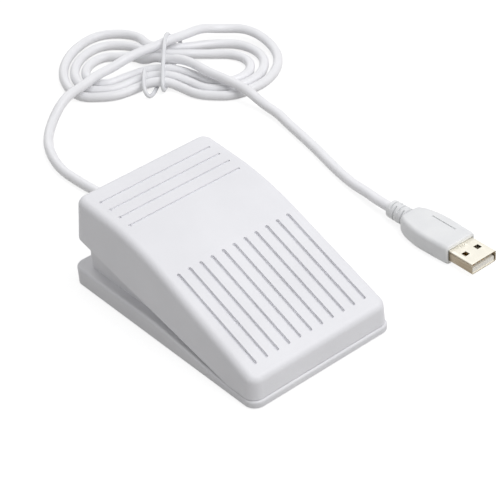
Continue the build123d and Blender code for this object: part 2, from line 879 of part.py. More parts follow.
# Microswitch case
ear_x = case_width / 2 - pivot_ear_thickness
with BuildPart() as switch_case:
    with BuildSketch(Plane.XY.offset(board_top)):
        with Locations((0, case_middle)):
            Rectangle(case_width, case_length)
    extrude(amount=case_height)
    fillet(switch_case.edges().filter_by(Axis.Z), radius=case_rounding)
    for side in (-1, 1):
        with BuildSketch(Plane.YZ.offset(side * ear_x)):
            with Locations((pivot_y, pivot_z)):
                Circle(pivot_ear_radius)
            with Locations((pivot_y, pivot_z - pivot_ear_radius)):
                Rectangle(2 * pivot_ear_radius, 2 * pivot_ear_radius)
        extrude(amount=side * pivot_ear_thickness)
    with BuildSketch(Plane.YZ):
        with Locations((pivot_y, pivot_z)):
            Circle(lever_pin_diameter / 2)
        with Locations(
            (case_middle - case_length / 2 + case_hole_inset, board_top + case_hole_rise),
            (case_middle + case_length / 2 - case_hole_inset, board_top + case_hole_rise),
        ):
            Circle(case_hole / 2)
    extrude(amount=case_width, both=True, mode=Mode.SUBTRACT)
    with BuildSketch(Plane.XZ.offset(-pivot_y + knuckle_diameter / 2 + slip_gap)):
        with Locations((0, pivot_z)):
            Rectangle(2 * ear_x, knuckle_diameter + 2 * slip_gap)
    extrude(amount=-knuckle_diameter - 2 * slip_gap, mode=Mode.SUBTRACT)
    with BuildSketch(Plane.XY.offset(plunger_top - plunger_length - plunger_well)):
        with Locations((0, plunger_y)):
            Circle(plunger_diameter / 2 + running_gap)
    extrude(amount=plunger_length + plunger_well, mode=Mode.SUBTRACT)
switch_case.part.label = "switch_case"
export_step(switch_case.part, "parts/switch_case.step")

# Microswitch plunger, with a domed top
with BuildPart() as switch_plunger:
    with BuildSketch(Plane.XY.offset(plunger_top - plunger_length)):
        with Locations((0, plunger_y)):
            Circle(plunger_diameter / 2)
    extrude(amount=plunger_length - plunger_diameter / 2)
    with Locations((0, plunger_y, dome_z)):
        Sphere(plunger_diameter / 2)
switch_plunger.part.label = "switch_plunger"
export_step(switch_plunger.part, "parts/switch_plunger.step")

# Microswitch lever, rolled round its pin
lever_plane = Plane(
    origin=(0, pivot_y, pivot_z),
    x_dir=(0, cos(radians(lever_angle)), sin(radians(lever_angle))),
    z_dir=(1, 0, 0),
)
lever_length = lever_reach / cos(radians(lever_angle))
with BuildPart() as switch_lever:
    with BuildSketch(lever_plane):
        Circle(knuckle_diameter / 2)
        with Locations((lever_length / 2, 0)):
            Rectangle(lever_length, lever_thickness)
        Circle(lever_pin_diameter / 2 + running_gap, mode=Mode.SUBTRACT)
    extrude(amount=lever_width / 2, both=True)
switch_lever.part.label = "switch_lever"
export_step(switch_lever.part, "parts/switch_lever.step")

# Lever pin
with BuildPart() as lever_pin:
    with BuildSketch(Plane.YZ):
        with Locations((pivot_y, pivot_z)):
            Circle(lever_pin_diameter / 2)
    extrude(amount=case_width / 2, both=True)
lever_pin.part.label = "lever_pin"
export_step(lever_pin.part, "parts/lever_pin.step")

# Switch terminals
with BuildPart() as switch_terminals:
    with Locations(*[(x, y, board_top) for x, y in terminal_places]):
        Cylinder(terminal_diameter / 2, terminal_length, align=down)
switch_terminals.part.label = "switch_terminals"
export_step(switch_terminals.part, "parts/switch_terminals.step")

# Controller chip with its legs
leg_x = chip_width / 2 + leg_reach / 2
leg_out = leg_x + leg_reach / 2
with BuildPart() as controller_chip:
    with BuildSketch(Plane.XY.offset(board_top + chip_standoff)):
        with Locations((chip_x, board_y)):
            Rectangle(chip_width, chip_length)
    extrude(amount=chip_height)
    with BuildSketch(Plane.XZ.offset(-board_y - leg_count * leg_pitch / 2)) as leg_ends:
        for side in (-1, 1):
            with Locations((chip_x + side * leg_x, board_top + leg_rise)):
                Rectangle(leg_reach, leg_thickness)
            with Locations((chip_x + side * (leg_out - leg_thickness / 2), board_top + leg_rise / 2)):
                Rectangle(leg_thickness, leg_rise)
            with Locations((chip_x + side * (leg_out + leg_foot / 2), board_top + leg_thickness / 2)):
                Rectangle(leg_foot + 2 * leg_thickness, leg_thickness)
    for row in range(leg_count):
        leg_plane = Plane.XZ.offset(-board_y + leg_width / 2 + (row - (leg_count - 1) / 2) * leg_pitch)
        extrude(leg_plane * leg_ends.sketch_local, amount=-leg_width)
controller_chip.part.label = "controller_chip"
export_step(controller_chip.part, "parts/controller_chip.step")

# Crystal in its can
with BuildPart() as crystal:
    with BuildSketch(Plane.XY.offset(board_top)):
        with Locations((crystal_x, board_y)):
            RectangleRounded(crystal_width, crystal_length, crystal_width * crystal_corner_share)
    extrude(amount=crystal_height)
crystal.part.label = "crystal"
export_step(crystal.part, "parts/crystal.step")

# Small chip parts in two rows
board_front = board_y - board_length / 2
capacitor_rows = [board_y + (row - (small_parts - 1) / 2) * capacitor_pitch for row in range(small_parts)]
with BuildPart() as ceramic_capacitors:
    with Locations(*[(capacitor_x, y, board_top) for y in capacitor_rows]):
        Box(chip_part_length, chip_part_width, capacitor_height, align=up)
ceramic_capacitors.part.label = "ceramic_capacitors"
export_step(ceramic_capacitors.part, "parts/ceramic_capacitors.step")

resistor_rows = [board_front + resistor_front + row * resistor_pitch for row in range(small_parts)]
with BuildPart() as resistors:
    with Locations(*[(resistor_x, y, board_top) for y in resistor_rows]):
        Box(chip_part_length, chip_part_width, resistor_height, align=up)
resistors.part.label = "resistors"
export_step(resistors.part, "parts/resistors.step")

# Clamp bar over the cord, and its screws
clamp_places = [(exit_x - clamp_post_offset, clamp_y), (exit_x + clamp_post_offset, clamp_y)]
clamp_length = 2 * (clamp_post_offset + clamp_end)
with BuildPart() as clamp_bar:
    with BuildSketch(Plane.XY.offset(clamp_bottom)):
        with Locations((exit_x, clamp_y)):
            RectangleRounded(clamp_length, clamp_width, clamp_width * clamp_corner_share)
        with Locations(*clamp_places):
            Circle(board_hole / 2, mode=Mode.SUBTRACT)
    extrude(amount=clamp_thickness)
clamp_bar.part.label = "clamp_bar"
export_step(clamp_bar.part, "parts/clamp_bar.step")

with BuildPart() as clamp_screws:
    with Locations(*[(x, y, clamp_bottom + clamp_thickness) for x, y in clamp_places]):
        Cylinder(board_head / 2, head_height, align=up)
        Cylinder(board_shank / 2, clamp_screw_length, align=down)
    fillet(clamp_screws.edges().group_by(Axis.Z)[-1], radius=head_height * head_rounding_share)
    with Locations(*[(x, y, clamp_bottom + clamp_thickness + head_height) for x, y in clamp_places]):
        Box(recess_length, recess_width, recess_depth, align=down, mode=Mode.SUBTRACT)
        Box(recess_width, recess_length, recess_depth, align=down, mode=Mode.SUBTRACT)
clamp_screws.part.label = "clamp_screws"
export_step(clamp_screws.part, "parts/clamp_screws.step")

# Cord inside the base, as far as the grommet's end
with BuildPart() as cord_tail:
    with BuildSketch(Plane.XZ.offset(-tail_end)):
        with Locations((exit_x, exit_z)):
            Circle(cord_radius)
    extrude(amount=tail_end - relief_end)
cord_tail.part.label = "cord_tail"
export_step(cord_tail.part, "parts/cord_tail.step")

# Inner wires from the cord's end to the board
wire_starts = [(-1, -1), (-1, 1), (1, 1), (1, -1)]
wire_z = board_top + wire_diameter / 2 + wire_lift
for index, name in enumerate(("wire_red", "wire_white", "wire_green", "wire_black")):
    side, level = wire_starts[index]
    start_x = exit_x + side * wire_offset
    start_z = exit_z + level * wire_offset
    end_x = wire_first_x + index * wire_pitch
    wire_points = [
        (start_x, tail_end, start_z),
        (start_x, tail_end - wire_straight, start_z),
        (end_x, board_rear + wire_level, wire_z),
        (end_x, board_rear - wire_landing, wire_z),
    ]
    with BuildPart() as inner_wire:
        with BuildLine() as wire_path:
            FilletPolyline(*wire_points, radius=bend_radii(wire_points))
        with BuildSketch(Plane(origin=wire_path.line @ 0, z_dir=wire_path.line % 0)):
            Circle(wire_diameter / 2)
        sweep(path=wire_path.line)
    inner_wire.part.label = name
    export_step(inner_wire.part, "parts/" + name + ".step")

# Strain relief of the cord at the base
relief_axis = Axis((exit_x, 0, exit_z), (0, 1, 0))
flange_end = base_rear + relief_flange_length
with BuildPart() as cord_strain_relief:
    with BuildSketch(Plane.XY.offset(exit_z)):
        with BuildLine():
            Polyline(
                (exit_x + cord_radius, opening_rear),
                (exit_x + relief_waist / 2, opening_rear),
                (exit_x + relief_waist / 2, base_rear),
                (exit_x + relief_flange / 2, base_rear),
                (exit_x + relief_flange / 2, flange_end),
                (exit_x + relief_neck / 2, flange_end),
                (exit_x + relief_tip / 2, relief_end),
                (exit_x + cord_radius, relief_end),
                close=True,
            )
        make_face()
        for ring in range(relief_grooves):
            ring_y = flange_end + (ring + 1) * relief_groove_pitch
            ring_x = exit_x + relief_neck / 2
            ring_x -= (relief_neck - relief_tip) / 2 * (ring_y - flange_end) / (relief_end - flange_end)
            with Locations((ring_x, ring_y)):
                Rectangle(2 * relief_groove_depth, relief_groove_width, mode=Mode.SUBTRACT)
    revolve(axis=relief_axis)
cord_strain_relief.part.label = "cord_strain_relief"
export_step(cord_strain_relief.part, "parts/cord_strain_relief.step")

# Hank, with a straight end of one cord diameter at each side
arcs = hank_arcs(hank_stations())
hank_first = arcs[0][0] - arcs[0][1] * cord_diameter
out_heading = hank_heading(hank_exit[-1][3])
hank_last = arcs[-1][2] + out_heading * cord_diameter
with BuildPart() as cord_hank:
    with BuildLine() as hank_path:
        Line(hank_first, arcs[0][0])
        for start, heading, end in arcs:
            chord = end - start
            if heading.cross(chord).length < straight_share * chord.length:
                Line(start, end)
            else:
                TangentArc(start, end, tangent=heading)
        Line(arcs[-1][2], hank_last)
    with BuildSketch(Plane(origin=hank_first, z_dir=arcs[0][1])):
        Circle(cord_radius)
    sweep(path=hank_path.wire())
cord_hank.part.label = "cord_hank"
export_step(cord_hank.part, "parts/cord_hank.step")
hank_length = hank_path.wire().length
hank_steps = int(hank_length / (cord_radius / 2))
hank_points = [hank_path.wire() @ (step / hank_steps) for step in range(hank_steps + 1)]
report_tube("cord_hank", cord_hank.part, hank_length, cord_diameter)
print(f"hank: least gap to itself {least_gap(hank_points, hank_length / hank_steps, cord_diameter):.2f} mm")

# Cord from the grommet to the hank, and from the hank to the plug
lead_in = lead_in_start + [tuple(hank_first - arcs[0][1] * lead_in_last_run), tuple(hank_first)]
with BuildPart() as cord_lead_in:
    with BuildLine() as lead_in_path:
        FilletPolyline(*lead_in, radius=bend_radii(lead_in))
    with BuildSketch(Plane(origin=lead_in[0], z_dir=lead_in_path.line % 0)):
        Circle(cord_radius)
    sweep(path=lead_in_path.line)
cord_lead_in.part.label = "cord_lead_in"
export_step(cord_lead_in.part, "parts/cord_lead_in.step")
print("cord_lead_in: radii", [round(radius, 1) for radius in bend_radii(lead_in)])
report_tube("cord_lead_in", cord_lead_in.part, lead_in_path.wire().length, cord_diameter)

lead_out = [tuple(hank_last), tuple(hank_last + out_heading * lead_out_first_run)] + lead_out_end
with BuildPart() as cord_lead_out:
    with BuildLine() as lead_out_path:
        FilletPolyline(*lead_out, radius=bend_radii(lead_out))
    with BuildSketch(Plane(origin=lead_out[0], z_dir=lead_out_path.line % 0)):
        Circle(cord_radius)
    sweep(path=lead_out_path.line)
cord_lead_out.part.label = "cord_lead_out"
export_step(cord_lead_out.part, "parts/cord_lead_out.step")
print("cord_lead_out: radii", [round(radius, 1) for radius in bend_radii(lead_out)])
report_tube("cord_lead_out", cord_lead_out.part, lead_out_path.wire().length, cord_diameter)

# Wire tie
tie_points = [tuple(hank_point(*place)) for place in tie_route]
with BuildPart() as wire_tie:
    with BuildLine() as tie_path:
        FilletPolyline(*tie_points, radius=bend_radii(tie_points))
    with BuildSketch(Plane(origin=tie_points[0], z_dir=tie_path.line % 0)):
        Circle(tie_diameter / 2)
    sweep(path=tie_path.line)
wire_tie.part.label = "wire_tie"
export_step(wire_tie.part, "parts/wire_tie.step")
report_tube("wire_tie", wire_tie.part, tie_path.wire().length, tie_diameter)

# Strain relief of the plug, ringed by slots that two webs bridge
plug_axis = Axis((plug_x, 0, plug_z), (0, 1, 0))
with BuildPart() as plug_strain_relief:
    with BuildSketch(Plane.XY.offset(plug_z)):
        with BuildLine():
            Polyline(
                (plug_x, 0),
                (plug_x + plug_relief_rear / 2, 0),
                (plug_x + plug_relief_front / 2, overmould_y),
                (plug_x, overmould_y),
                close=True,
            )
        make_face()
        for ring in range(plug_rings):
            ring_y = plug_ring_groove / 2 - (ring + 1) * plug_ring_pitch
            with Locations((plug_x + plug_relief_front / 2, ring_y)):
                Rectangle(2 * plug_ring_depth, plug_ring_groove, mode=Mode.SUBTRACT)
    revolve(axis=plug_axis)
    with BuildSketch(Plane.XY.offset(plug_z - plug_relief_rear / 2 + plug_ring_depth / 2)):
        with Locations((plug_x, overmould_y / 2)):
            Rectangle(plug_web, plug_relief_length)
    extrude(amount=plug_relief_rear - plug_ring_depth)
plug_strain_relief.part.label = "plug_strain_relief"
export_step(plug_strain_relief.part, "parts/plug_strain_relief.step")

# Overmould of the plug, bell-shaped in plan
shoulder_y = overmould_y - overmould_shoulder
with BuildPart() as plug_overmould:
    with BuildSketch(Plane.XY):
        with BuildLine():
            rear_edge = Line(
                (plug_x - overmould_rear / 2, overmould_y),
                (plug_x + overmould_rear / 2, overmould_y),
            )
            TangentArc(
                (plug_x + overmould_widest / 2, shoulder_y),
                rear_edge @ 1,
                tangent=(0, 1),
            )
            Polyline(
                (plug_x + overmould_widest / 2, shoulder_y),
                (plug_x + overmould_front / 2, shell_y),
                (plug_x - overmould_front / 2, shell_y),
                (plug_x - overmould_widest / 2, shoulder_y),
            )
            TangentArc(
                (plug_x - overmould_widest / 2, shoulder_y),
                rear_edge @ 0,
                tangent=(0, 1),
            )
        make_face()
    extrude(amount=overmould_height)
    long_edges = plug_overmould.edges().filter_by(lambda edge: edge.center().Y > shell_y + overrun)
    fillet(long_edges.filter_by(Axis.Z, reverse=True), radius=overmould_rounding)
    chamfer(plug_overmould.faces().sort_by(Axis.Y)[0].edges(), length=overmould_front_chamfer)
    with BuildSketch(Plane.XZ.offset(-shell_y)):
        with Locations((plug_x, plug_z)):
            RectangleRounded(shell_width, shell_height, shell_corner)
    extrude(amount=-plug_seat, mode=Mode.SUBTRACT)
plug_overmould.part.label = "plug_overmould"
export_step(plug_overmould.part, "parts/plug_overmould.step")

# Shell of the plug, with two windows on each face
seat_y = shell_y + plug_seat
window_y = shell_y - shell_window_gap
with BuildPart() as plug_shell:
    with BuildSketch(Plane.XZ.offset(-seat_y)):
        with Locations((plug_x, plug_z)):
            RectangleRounded(shell_width, shell_height, shell_corner)
            RectangleRounded(
                shell_width - 2 * shell_sheet,
                shell_height - 2 * shell_sheet,
                shell_corner - shell_sheet,
                mode=Mode.SUBTRACT,
            )
    extrude(amount=seat_y - shell_end)
    with BuildSketch(Plane.XY):
        with Locations((plug_x - shell_window_x, window_y), (plug_x + shell_window_x, window_y)):
            Rectangle(shell_window, shell_window)
    extrude(amount=2 * plug_z, mode=Mode.SUBTRACT)
plug_shell.part.label = "plug_shell"
export_step(plug_shell.part, "parts/plug_shell.step")

# Tongue and contacts of the plug
tongue_bottom = plug_z - shell_height / 2 + shell_sheet
tongue_width = shell_width - 2 * (shell_sheet + tongue_side_gap)
with BuildPart() as plug_tongue:
    with BuildSketch(Plane.XY.offset(tongue_bottom)):
        with Locations((plug_x, (seat_y + shell_end + tongue_setback) / 2)):
            Rectangle(tongue_width, seat_y - shell_end - tongue_setback)
    extrude(amount=tongue_thickness)
plug_tongue.part.label = "plug_tongue"
export_step(plug_tongue.part, "parts/plug_tongue.step")

contact_y = shell_end + tongue_setback + contact_front_gap + contact_length / 2
with BuildPart() as plug_contacts:
    with BuildSketch(Plane.XY.offset(tongue_bottom + tongue_thickness)):
        for offset_x in (-contact_outer_x, -contact_inner_x, contact_inner_x, contact_outer_x):
            with Locations((plug_x + offset_x, contact_y)):
                Rectangle(contact_width, contact_length)
    extrude(amount=contact_thickness)
plug_contacts.part.label = "plug_contacts"
export_step(plug_contacts.part, "parts/plug_contacts.step")
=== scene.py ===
# USB foot pedal with its cord folded into a hank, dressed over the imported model
from math import atan2, cos, degrees, pi, radians, sin, sqrt

import bmesh
import bpy
from mathutils import Matrix, Vector


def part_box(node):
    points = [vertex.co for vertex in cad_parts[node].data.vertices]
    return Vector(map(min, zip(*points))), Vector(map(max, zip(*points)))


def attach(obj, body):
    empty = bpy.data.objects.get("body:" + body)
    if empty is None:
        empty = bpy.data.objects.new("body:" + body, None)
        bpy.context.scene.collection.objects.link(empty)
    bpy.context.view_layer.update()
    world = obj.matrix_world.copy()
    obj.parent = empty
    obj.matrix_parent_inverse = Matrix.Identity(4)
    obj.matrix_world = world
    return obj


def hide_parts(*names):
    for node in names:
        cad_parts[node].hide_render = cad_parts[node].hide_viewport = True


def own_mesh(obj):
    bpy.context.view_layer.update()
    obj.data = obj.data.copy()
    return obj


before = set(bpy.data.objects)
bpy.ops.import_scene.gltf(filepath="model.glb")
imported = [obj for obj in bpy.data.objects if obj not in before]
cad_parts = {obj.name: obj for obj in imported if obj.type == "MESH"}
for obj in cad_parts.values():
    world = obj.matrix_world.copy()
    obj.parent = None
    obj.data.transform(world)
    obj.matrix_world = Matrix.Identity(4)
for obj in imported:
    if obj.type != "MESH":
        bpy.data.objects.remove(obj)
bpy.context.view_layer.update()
mm = 0.001


# Small tools for working by hand

def deselectAll():
    bpy.ops.object.select_all(action="DESELECT")


def takeUp(piece):  # makes a piece the only one that operators act on
    deselectAll()
    piece.select_set(True)
    bpy.context.view_layer.objects.active = piece


def newPiece(operator, name, **settings):
    deselectAll()
    operator(**settings)
    piece = bpy.context.object
    piece.name = name
    piece.data.name = name
    return piece


def settle(piece):  # puts the place, turn and size into the mesh
    takeUp(piece)
    bpy.ops.object.transform_apply(location=True, rotation=True, scale=True)


def applyModifier(piece, kind, **settings):
    takeUp(piece)
    modifier = piece.modifiers.new(kind.title(), kind)
    for name, value in settings.items():
        setattr(modifier, name, value)
    bpy.ops.object.modifier_apply(modifier=modifier.name)


def startEdit(piece, mode="FACE"):
    takeUp(piece)
    bpy.ops.object.mode_set(mode="EDIT")
    bpy.ops.mesh.select_mode(type=mode)
    bpy.ops.mesh.select_all(action="DESELECT")


def endEdit():
    bpy.ops.object.mode_set(mode="OBJECT")


def selectFaces(piece, chosen):  # chosen gets each face's middle and normal
    mesh = bmesh.from_edit_mesh(piece.data)
    for face in mesh.faces:
        face.select_set(False)
    for face in mesh.faces:
        if chosen(face.calc_center_median(), face.normal):
            face.select_set(True)
    bmesh.update_edit_mesh(piece.data)


def selectEdges(piece, chosen):  # chosen gets each edge's two ends
    mesh = bmesh.from_edit_mesh(piece.data)
    for edge in mesh.edges:
        edge.select_set(False)
    for edge in mesh.edges:
        if chosen(edge.verts[0].co, edge.verts[1].co):
            edge.select_set(True)
    bmesh.update_edit_mesh(piece.data)


def cutAcross(axis, places):  # adds a ring of edges at each place along an axis
    normal = Vector((0, 0, 0))
    normal[axis] = 1
    for place in places:
        bpy.ops.mesh.select_all(action="SELECT")
        bpy.ops.mesh.bisect(plane_co=normal * place, plane_no=normal)


def smoothByAngle(piece, angle):
    takeUp(piece)
    bpy.ops.object.shade_smooth_by_angle(angle=radians(angle))


def boxPiece(name, low, high):  # a box to start from, between two corners
    piece = newPiece(bpy.ops.mesh.primitive_cube_add, name, size=1, location=(Vector(low) + Vector(high)) / 2)
    piece.scale = Vector(high) - Vector(low)
    settle(piece)
    return piece


def cutOut(piece, tool):  # takes a tool's shape away and removes the tool
    applyModifier(piece, "BOOLEAN", operation="DIFFERENCE", solver="EXACT", object=tool)
    bpy.data.objects.remove(tool)


# Materials

def linear(code):  # sRGB hex to the linear values that the shader takes
    channels = [int(code[at:at + 2], 16) / 255 for at in (0, 2, 4)]
    return [c / 12.92 if c <= 0.04045 else ((c + 0.055) / 1.055) ** 2.4 for c in channels] + [1.0]


def addNode(tree, kind, settings={}, links={}):
    node = tree.nodes.new(kind)
    for name, value in settings.items():
        if isinstance(name, int) or name in node.inputs:
            node.inputs[name].default_value = value
        else:
            setattr(node, name, value)
    for name, source in links.items():
        tree.links.new(source, node.inputs[name])
    return node


def newMaterial(name):
    material = bpy.data.materials.new(name)
    material.use_nodes = True
    material.node_tree.nodes.clear()
    return material, material.node_tree


def perMetre(size):  # a pattern's scale from its real size in millimetres
    return 1 / (size * mm)


noiseLow, noiseHigh = 0.3, 0.7  # the part of a noise texture that is spread over a colour or gloss
grainRise, streakRise = 0.1, 0.05  # height of the bumps, as a share of the pattern's size


def moulded(name, look):
    # Plastic and rubber from a mould or die: slow colour drift, fine grain, and gloss that follows the grain
    material, tree = newMaterial(name)
    place = addNode(tree, "ShaderNodeTexCoord").outputs["Object"]
    drift = addNode(
        tree, "ShaderNodeTexNoise", {"Scale": perMetre(look["driftSize"]), "Detail": 3.0}, {"Vector": place}
    )
    grain = addNode(
        tree, "ShaderNodeTexNoise",
        {"Scale": perMetre(look["grainSize"]), "Detail": 2.0, "Roughness": 0.6}, {"Vector": place},
    )
    spread = addNode(
        tree, "ShaderNodeMapRange", {"From Min": noiseLow, "From Max": noiseHigh},
        {"Value": drift.outputs["Fac"]},
    )
    colour = addNode(
        tree, "ShaderNodeMix",
        {"data_type": "RGBA", 6: linear(look["colour"]), 7: linear(look["shade"])},
        {0: spread.outputs["Result"]},
    )
    gloss = addNode(
        tree, "ShaderNodeMapRange",
        {"From Min": noiseLow, "From Max": noiseHigh, "To Min": look["smooth"], "To Max": look["rough"]},
        {"Value": grain.outputs["Fac"]},
    )
    bump = addNode(
        tree, "ShaderNodeBump", {"Strength": look["bump"], "Distance": look["grainSize"] * mm * grainRise},
        {"Height": grain.outputs["Fac"]},
    )
    shader = addNode(
        tree, "ShaderNodeBsdfPrincipled", {"IOR": look["ior"]},
        {
            "Base Color": colour.outputs[2], "Roughness": gloss.outputs["Result"],
            "Normal": bump.outputs["Normal"],
        },
    )
    addNode(tree, "ShaderNodeOutputMaterial", {}, {"Surface": shader.outputs["BSDF"]})
    return material


def metal(name, look):
    # Drawn, pressed or plated metal: streaks along one axis in the gloss, and painted shade that gives
    # upright sides a darker colour
    material, tree = newMaterial(name)
    place = addNode(tree, "ShaderNodeTexCoord").outputs["Object"]
    along = addNode(tree, "ShaderNodeMapping", {"Scale": look["stretch"]}, {"Vector": place})
    streak = addNode(
        tree, "ShaderNodeTexNoise", {"Scale": perMetre(look["streakSize"]), "Detail": 4.0},
        {"Vector": along.outputs["Vector"]},
    )
    # Painted shade: the more a face stands upright, the more it takes the darker side colour, as if turned
    # from the light
    facing = addNode(tree, "ShaderNodeNewGeometry").outputs["Normal"]
    parts = addNode(tree, "ShaderNodeSeparateXYZ", {}, {"Vector": facing})
    level = addNode(tree, "ShaderNodeMath", {"operation": "ABSOLUTE"}, {0: parts.outputs["Z"]})
    paintedSideShade = addNode(
        tree, "ShaderNodeMapRange", {"From Min": 0.2, "From Max": 0.9}, {"Value": level.outputs["Value"]}
    )
    paintedShadeTone = addNode(
        tree, "ShaderNodeMix",
        {"data_type": "RGBA", 6: linear(look["side"]), 7: linear(look["colour"])},
        {0: paintedSideShade.outputs["Result"]},
    )
    mottle = addNode(
        tree, "ShaderNodeMapRange",
        {"From Min": 0.35, "From Max": 0.75, "To Max": look["tarnish"]}, {"Value": streak.outputs["Fac"]},
    )
    colour = addNode(
        tree, "ShaderNodeMix", {"data_type": "RGBA", 7: linear(look["dull"])},
        {0: mottle.outputs["Result"], 6: paintedShadeTone.outputs[2]},
    )
    gloss = addNode(
        tree, "ShaderNodeMapRange",
        {"From Min": noiseLow, "From Max": noiseHigh, "To Min": look["smooth"], "To Max": look["rough"]},
        {"Value": streak.outputs["Fac"]},
    )
    bump = addNode(
        tree, "ShaderNodeBump", {"Strength": look["bump"], "Distance": look["streakSize"] * mm * streakRise},
        {"Height": streak.outputs["Fac"]},
    )
    shader = addNode(
        tree, "ShaderNodeBsdfPrincipled", {"Metallic": 1.0},
        {
            "Base Color": colour.outputs[2], "Roughness": gloss.outputs["Result"],
            "Normal": bump.outputs["Normal"],
        },
    )
    addNode(tree, "ShaderNodeOutputMaterial", {}, {"Surface": shader.outputs["BSDF"]})
    return material


def boardLaminate(look):
    # Glass laminate under green solder mask: copper tracks show through as a paler raised pattern
    material, tree = newMaterial("Glass laminate, green solder mask")
    place = addNode(tree, "ShaderNodeTexCoord").outputs["Object"]
    weave = addNode(
        tree, "ShaderNodeTexNoise", {"Scale": perMetre(look["weave"]), "Detail": 2.0}, {"Vector": place}
    )
    tracks = addNode(
        tree, "ShaderNodeTexBrick",
        {
            "Scale": perMetre(look["trackPitch"]), "Mortar Size": 0.08, "Mortar Smooth": 0.2,
            "Color1": (0, 0, 0, 1), "Color2": (0, 0, 0, 1), "Mortar": (1, 1, 1, 1),
            "Brick Width": 4.0, "Row Height": 1.0,
        },
        {"Vector": place},
    )
    colour = addNode(
        tree, "ShaderNodeMix",
        {"data_type": "RGBA", 6: linear(look["mask"]), 7: linear(look["track"])},
        {0: tracks.outputs["Color"]},
    )
    tint = addNode(
        tree, "ShaderNodeMix", {"data_type": "RGBA", "blend_type": "MULTIPLY", 0: 0.3},
        {6: colour.outputs[2], 7: weave.outputs["Color"]},
    )
    bump = addNode(
        tree, "ShaderNodeBump", {"Strength": 0.4, "Distance": look["trackRise"] * mm},
        {"Height": tracks.outputs["Color"]},
    )
    shader = addNode(
        tree, "ShaderNodeBsdfPrincipled", {"IOR": 1.55, "Roughness": 0.32},
        {"Base Color": tint.outputs[2], "Normal": bump.outputs["Normal"]},
    )
    addNode(tree, "ShaderNodeOutputMaterial", {}, {"Surface": shader.outputs["BSDF"]})
    return material


def plastic(name, colour, shade, smooth, rough, grainSize=0.5, driftSize=14, bump=0.25, ior=1.54):
    return moulded(name, {
        "colour": colour, "shade": shade, "smooth": smooth, "rough": rough, "grainSize": grainSize,
        "driftSize": driftSize, "bump": bump, "ior": ior,
    })


# side is the colour of upright faces: painted shade
def pressed(
    name, colour, side, dull, smooth, rough, tarnish=0.2, streakSize=0.8, bump=0.15, stretch=(1, 0.12, 1),
):
    return metal(name, {
        "colour": colour, "side": side, "dull": dull, "smooth": smooth, "rough": rough, "tarnish": tarnish,
        "streakSize": streakSize, "bump": bump, "stretch": stretch,
    })


finishes = {
    # Spark-textured ABS: satin and even. Its grain is about 0.1 mm, drawn at 0.6 so that it shows
    "cover_plastic": plastic("Moulded ABS, cool white satin", "eeeef1", "e9e9ec", 0.42, 0.56, 0.6, 22),
    "base_plastic": plastic("Moulded ABS, white satin, base", "eaeaec", "e4e4e7", 0.46, 0.6, 0.6, 22),
    # Extruded PVC: smoother than the mouldings, with a soft broad highlight
    "cord_jacket": plastic("Extruded PVC jacket, white", "f8f8fa", "f3f3f5", 0.3, 0.42, 0.8, 9, 0.12, 1.53),
    "plug_plastic": plastic("Overmoulded PVC, white", "eeefef", "e8e9ea", 0.34, 0.46, 0.5, 8, 0.15, 1.53),
    "tie_plastic": plastic(
        "PVC coating of a tie wire, gloss white", "f0f1f3", "e8e9ec", 0.16, 0.26, 0.6, 5, 0.1,
    ),
    "tongue_plastic": plastic("Moulded PBT, milk white", "f7f4ec", "f0ece2", 0.4, 0.5, 0.4, 4),
    "black_plastic": plastic("Moulded PBT, black", "1b1b1c", "242425", 0.36, 0.52, 0.4, 5),
    "plunger_red": plastic("Moulded acetal, red", "a8231f", "96201c", 0.28, 0.38, 0.4, 3),
    "foot_rubber": plastic("Moulded rubber, dark grey", "2a2a2b", "353536", 0.72, 0.88, 0.35, 3, 0.5, 1.5),
    "capacitor_ceramic": plastic("Fired ceramic, tan", "9c7d58", "8a6d4b", 0.45, 0.6, 0.3, 2),
    "wire_red": plastic("Extruded PVC, red", "b3262a", "a12226", 0.34, 0.44, 0.3, 4),
    "wire_white": plastic("Extruded PVC, white", "e9e8e4", "dddcd7", 0.34, 0.44, 0.3, 4),
    "wire_green": plastic("Extruded PVC, green", "1f7a3d", "1b6c36", 0.34, 0.44, 0.3, 4),
    "wire_black": plastic("Extruded PVC, black", "1c1c1d", "262627", 0.34, 0.44, 0.3, 4),
    # Bright nickel over pressed brass: cream on the face, with painted shade that makes the upright sides
    # browner
    "nickel_plate": pressed(
        "Nickel-plated brass, pressed", "f4f0e4", "90836f", "dfd8c8", 0.28, 0.36, bump=0.05,
    ),
    "contact_gold": pressed("Gold-flashed bronze", "e6b64c", "c99a3c", "d8a848", 0.18, 0.3),
    "steel": pressed("Zinc-plated steel", "c9ccd0", "b4b8bd", "a9adb3", 0.24, 0.4),
    "spring_steel": pressed(
        "Drawn spring steel", "b3b5b8", "9c9ea2", "8d8f93", 0.22, 0.36, stretch=(1, 1, 1),
    ),
    "tin": pressed("Tinned copper", "d6d7d8", "c2c3c5", "b8b9bb", 0.26, 0.4),
    "board_laminate": boardLaminate(
        {"weave": 0.4, "trackPitch": 1.6, "trackRise": 0.03, "mask": "1f6b3a", "track": "2f8a4e"}
    ),
}

